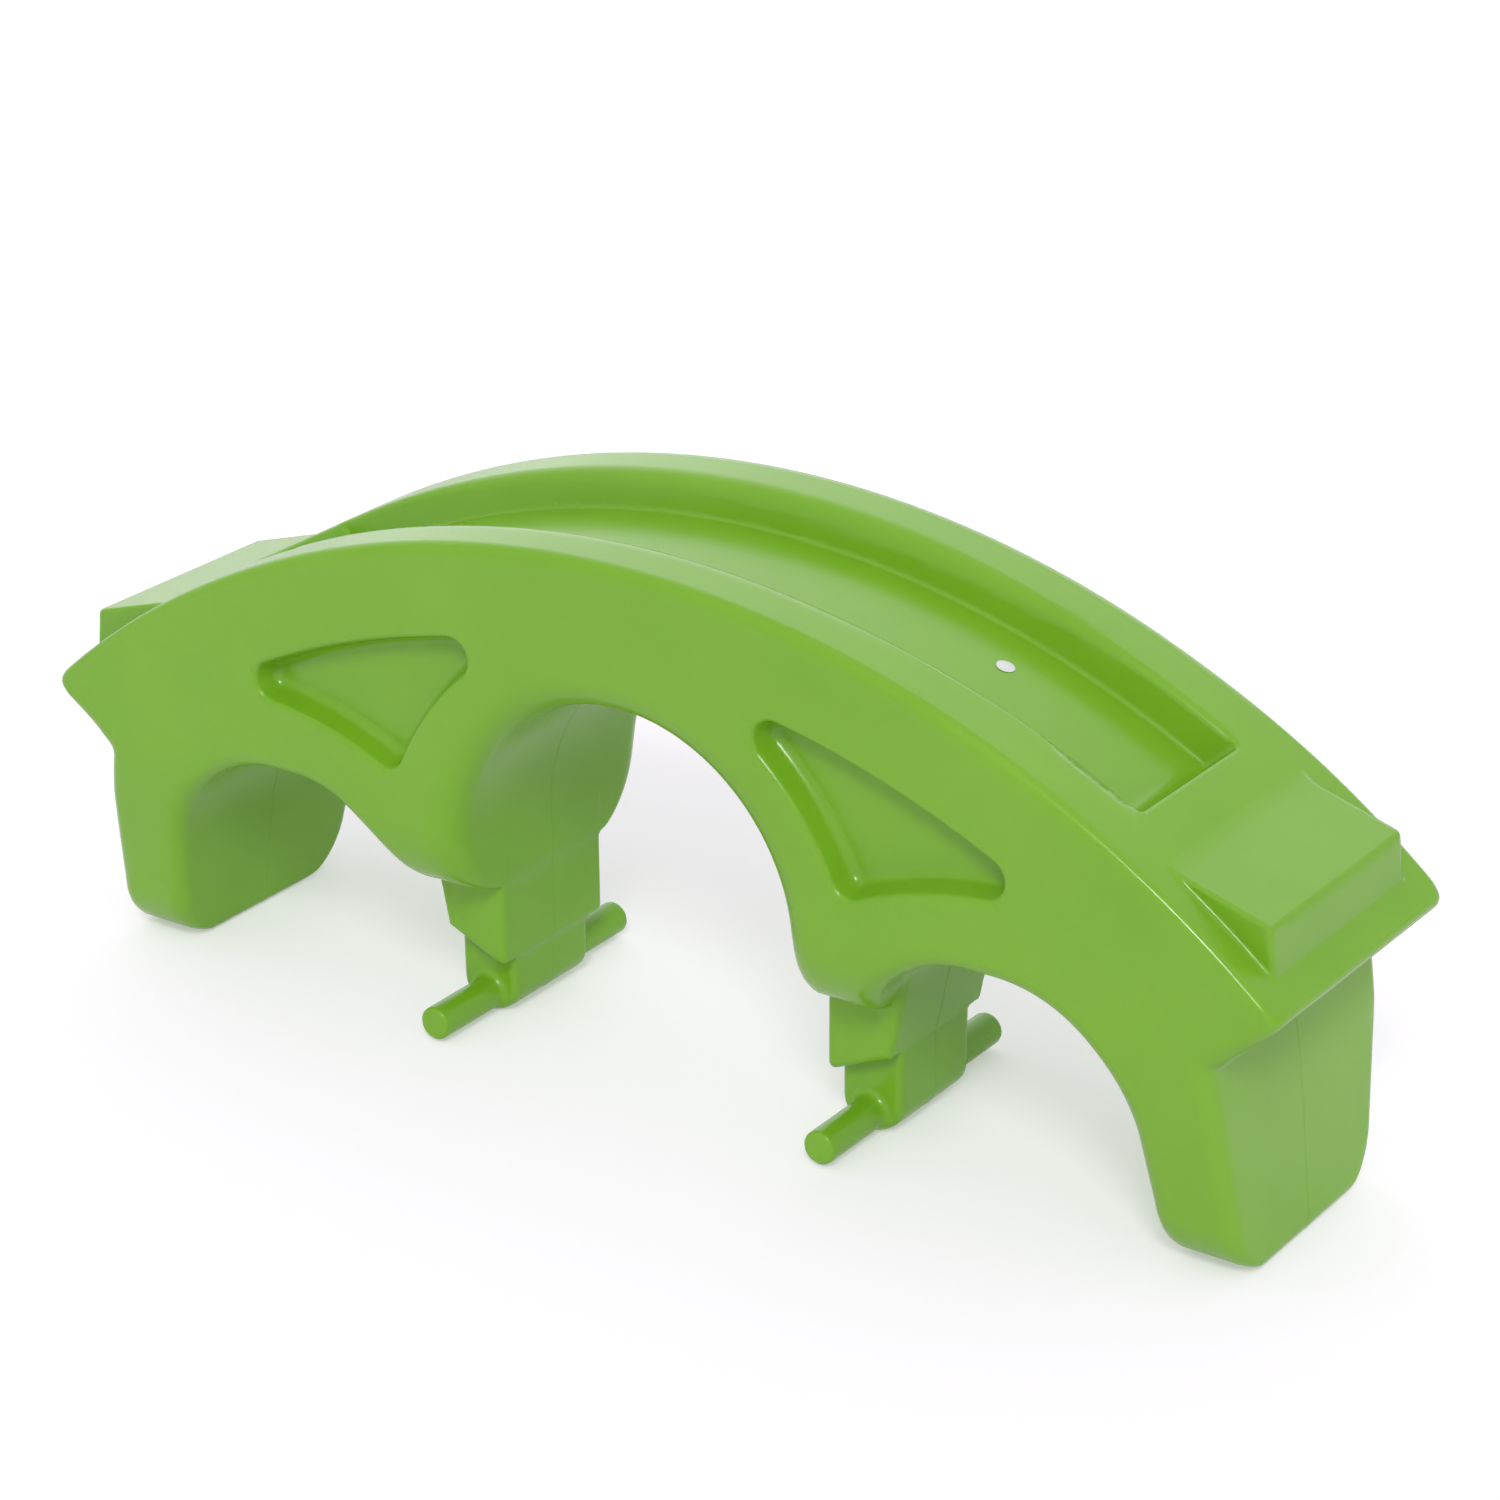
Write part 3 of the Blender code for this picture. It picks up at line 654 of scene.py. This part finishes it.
def make_body(material):
    points, faces = moulding_mesh()
    points = settle(points, faces)
    slopes = surface_normals(points)
    mesh = bpy.data.meshes.new("rocker_body")
    mesh.from_pydata(points.tolist(), [], faces)
    mesh.shade_smooth()
    normals = slopes / np.linalg.norm(slopes, axis=1)[:, None]
    mesh.normals_split_custom_set_from_vertices(normals.tolist())
    mesh.materials.append(material)
    return add_object("rocker_body", mesh)


def middle_wire(body):
    """Wire along the body's middle plane, below the rims, just sunk in it."""
    wire = bmesh.new()
    wire.from_mesh(body.data)
    whole = wire.verts[:] + wire.edges[:] + wire.faces[:]
    cut = bmesh.ops.bisect_plane(
        wire, geom=whole, dist=PROBE, plane_co=(0, 0, 0), plane_no=(0, 1, 0)
    )
    edges = [part for part in cut["geom_cut"] if isinstance(part, bmesh.types.BMEdge)]
    places = np.array([[vertex.co for vertex in edge.verts] for edge in edges])
    depth = RIM_RADIUS - np.hypot(places[:, :, 0], places[:, :, 2] - RIM_CENTRE_Z)
    below = (depth > CHANNEL_DEPTH + CELL) | (places[:, :, 2] < STOP_FOOT_Z)
    kept = [edge for edge, low in zip(edges, below.all(1)) if low]
    order = {}
    for edge in kept:
        for vertex in edge.verts:
            order.setdefault(vertex, len(order))
    points = np.array([vertex.co for vertex in order])
    slopes = surface_normals(points)
    slopes /= np.linalg.norm(slopes, axis=1)[:, None]
    points -= slopes * (MOULD_LINE_RADIUS - MOULD_LINE_HEIGHT)
    points[:, 2] = np.maximum(points[:, 2], MOULD_LINE_RADIUS)
    mesh = bpy.data.meshes.new("mould_line")
    mesh.from_pydata(points.tolist(), [[order[v] for v in edge.verts] for edge in kept], [])
    wire.free()
    return mesh


def tube_tree(material):
    """Geometry nodes that run a round bead along a wire."""
    tree = bpy.data.node_groups.new("bead_along_wire", "GeometryNodeTree")
    tree.interface.new_socket("Wire", in_out="INPUT", socket_type="NodeSocketGeometry")
    tree.interface.new_socket("Bead Radius", in_out="INPUT", socket_type="NodeSocketFloat")
    tree.interface.new_socket("Bead", in_out="OUTPUT", socket_type="NodeSocketGeometry")
    source = tree.nodes.new("NodeGroupInput")
    curve = tree.nodes.new("GeometryNodeMeshToCurve")
    ring = tree.nodes.new("GeometryNodeCurvePrimitiveCircle")
    ring.inputs["Resolution"].default_value = MOULD_LINE_SIDES
    sweep = tree.nodes.new("GeometryNodeCurveToMesh")
    sweep.inputs["Fill Caps"].default_value = True
    whole = tree.nodes.new("GeometryNodeRealizeInstances")
    dressed = tree.nodes.new("GeometryNodeSetMaterial")
    dressed.inputs["Material"].default_value = material
    target = tree.nodes.new("NodeGroupOutput")
    for start, finish in (
        (source.outputs["Wire"], curve.inputs["Mesh"]),
        (source.outputs["Bead Radius"], ring.inputs["Radius"]),
        (curve.outputs["Curve"], sweep.inputs["Curve"]),
        (ring.outputs["Curve"], sweep.inputs["Profile Curve"]),
        (sweep.outputs["Mesh"], whole.inputs["Geometry"]),
        (whole.outputs["Geometry"], dressed.inputs["Geometry"]),
        (dressed.outputs["Geometry"], target.inputs["Bead"]),
    ):
        tree.links.new(start, finish)
    return tree


def make_mould_line(body, material):
    line = add_object("mould_line", middle_wire(body))
    tree = tube_tree(material)
    modifier = line.modifiers.new("bead", "NODES")
    modifier.node_group = tree
    for item in tree.interface.items_tree:
        if item.name == "Bead Radius":
            modifier[item.identifier] = MOULD_LINE_RADIUS
    graph = bpy.context.evaluated_depsgraph_get()
    mesh = bpy.data.meshes.new_from_object(line.evaluated_get(graph))
    line.modifiers.clear()
    line.data = mesh
    mesh.shade_smooth()
    return line


def make_plug(material):
    """Turned plug: domed head on the channel's floor, barb below the wall."""
    mesh = bpy.data.meshes.new("vent_plug_turned")
    turned = bmesh.new()
    rings = []
    for radius, height in PLUG_PROFILE:
        ring = []
        for i in range(PLUG_SEGMENTS):
            angle = 2 * math.pi * i / PLUG_SEGMENTS
            across, along = radius * math.cos(angle), radius * math.sin(angle)
            ring.append(turned.verts.new((across, along, height)))
        rings.append(ring)
    for lower, upper in zip(rings, rings[1:]):
        for i in range(PLUG_SEGMENTS):
            j = (i + 1) % PLUG_SEGMENTS
            turned.faces.new((lower[i], lower[j], upper[j], upper[i]))
    turned.faces.new(rings[0][::-1])
    turned.faces.new(rings[-1])
    floor_radius = RIM_RADIUS - CHANNEL_DEPTH
    lean = math.asin(PLUG_PLACE[0] / floor_radius)
    place = Matrix.Translation((0.0, PLUG_PLACE[1], RIM_CENTRE_Z)) @ Matrix.Rotation(lean, 4, "Y")
    turned.transform(place @ Matrix.Translation((0.0, 0.0, floor_radius)))
    turned.to_mesh(mesh)
    turned.free()
    mesh.shade_smooth()
    mesh.set_sharp_from_angle(angle=PLUG_SHARP_ANGLE)
    mesh.materials.append(material)
    return add_object("vent_plug_turned", mesh)


# The room


def make_floor():
    """White floor, a little brighter to the camera than the light makes it."""
    finish = Finish(bpy.data.materials.new("floor_white"))
    lit = finish.node("ShaderNodeBsdfDiffuse", None, {"Color": FLOOR_COLOUR})
    seen = finish.node("ShaderNodeLightPath", None, None, "Is Camera Ray")
    shown = finish.node("ShaderNodeEmission", None, {"Strength": seen * FLOOR_SHOWN + FLOOR_GLOW})
    both = finish.node("ShaderNodeAddShader", None, {0: lit, 1: shown})
    mesh = bpy.data.meshes.new("floor")
    corners = [(x, y, 0.0) for x, y in ((-1, -1), (1, -1), (1, 1), (-1, 1))]
    mesh.from_pydata([Vector(corner) * FLOOR_REACH for corner in corners], [], [(0, 1, 2, 3)])
    mesh.materials.append(finish.surface(both))
    return add_object("floor", mesh)


def make_camera():
    data = bpy.data.cameras.new("camera")
    data.sensor_width = CAMERA_SENSOR
    data.lens = CAMERA_LENS
    camera = add_object("camera", data)
    turn = Matrix((CAMERA_RIGHT, CAMERA_UP, CAMERA_BACK)).transposed()
    camera.matrix_world = Matrix.Translation(CAMERA_PLACE) @ turn.to_4x4()
    bpy.context.scene.camera = camera


def glow(finish, direction, aim, radius, blur, strength):
    """Soft round light in the sky, seen under that angle from its middle out."""
    turned = {0: direction, 1: Vector(aim).normalized()}
    facing = finish.node("ShaderNodeVectorMath", {"operation": "DOT_PRODUCT"}, turned, "Value")
    edges = {
        "Value": facing,
        "From Min": math.cos(math.radians(radius + blur)),
        "From Max": math.cos(math.radians(radius)),
        "To Max": strength,
    }
    return finish.node("ShaderNodeMapRange", {"interpolation_type": "SMOOTHSTEP"}, edges)


def make_light():
    """An even white room with a softbox at the front and a bright rear wall."""
    world = bpy.data.worlds.new("room")
    finish = Finish(world)
    direction = finish.node("ShaderNodeTexCoord", None, None, "Generated")
    room = glow(finish, direction, *SOFTBOX) + glow(finish, direction, *REAR_WALL) + ROOM_LEVEL
    camera = finish.node("ShaderNodeLightPath", None, None, "Is Camera Ray")
    sky = {"Color": (1.0, 1.0, 1.0, 1.0), "Strength": room * (1.0 - camera) + camera}
    finish.surface(finish.node("ShaderNodeBackground", None, sky))
    bpy.context.scene.world = world


lime = lime_polyethylene()
body = make_body(lime)
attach(body, "root")
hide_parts("body_shell")
line = make_mould_line(body, lime)
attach(line, "root")
plug = make_plug(plug_plastic())
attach(plug, "root")
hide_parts("vent_plug")
make_floor()
make_light()
make_camera()
bpy.context.scene.view_settings.view_transform = "Standard"
